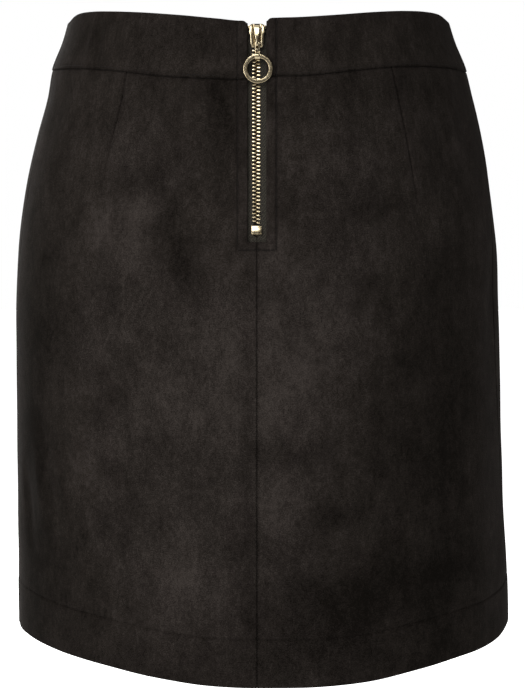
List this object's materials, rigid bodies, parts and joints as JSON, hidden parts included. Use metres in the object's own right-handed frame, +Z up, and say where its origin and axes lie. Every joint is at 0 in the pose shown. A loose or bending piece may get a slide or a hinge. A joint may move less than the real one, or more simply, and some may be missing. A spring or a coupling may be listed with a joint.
{
  "type": "faux suede mini skirt",
  "caption": "Faux suede mini skirt filled out as worn, with a shaped waistband, back darts, a centre-back seam, an exposed metal zip and a ring pull.",
  "frame": {"origin": "middle of the waist opening, level with the highest point of the waist edge, where the wearer's waist holds the skirt", "axes": "+Z up, -Y out of the centre back with its zip, +X to the wearer's right"},
  "size_m": [0.3357, 0.2523, 0.4277],
  "materials": {
    "suede": "matte brown-black suede nap, mottled",
    "zip_tape": "woven black tape",
    "gold_metal": "polished pale gold plating"
  },
  "bodies": {
    "skirt": {"front_panel": "suede", "back_panel_left": "suede", "back_panel_right": "suede", "waistband_front": "suede", "waistband_back_left": "suede", "waistband_back_right": "suede", "zip_tape_left": "zip_tape", "zip_tape_right": "zip_tape", "zip_chain": "gold_metal", "zip_bottom_stop": "gold_metal", "zip_top_stop_left": "gold_metal", "zip_top_stop_right": "gold_metal", "zip_slider": "gold_metal"},
    "link": {"pull_link": "gold_metal"},
    "ring": {"pull_ring": "gold_metal"}
  },
  "joints": [
    {"name": "link_lift", "type": "hinge", "parent": "skirt", "child": "link", "pos_m": [0.0003, -0.10228, -0.01995], "axis": [-1, 0, 0], "range_deg": [0, 125]},
    {"name": "ring_swing", "type": "hinge", "parent": "link", "child": "ring", "pos_m": [0.0003, -0.10454, -0.02766], "axis": [-1, 0, 0], "range_deg": [0, 75]}
  ]
}
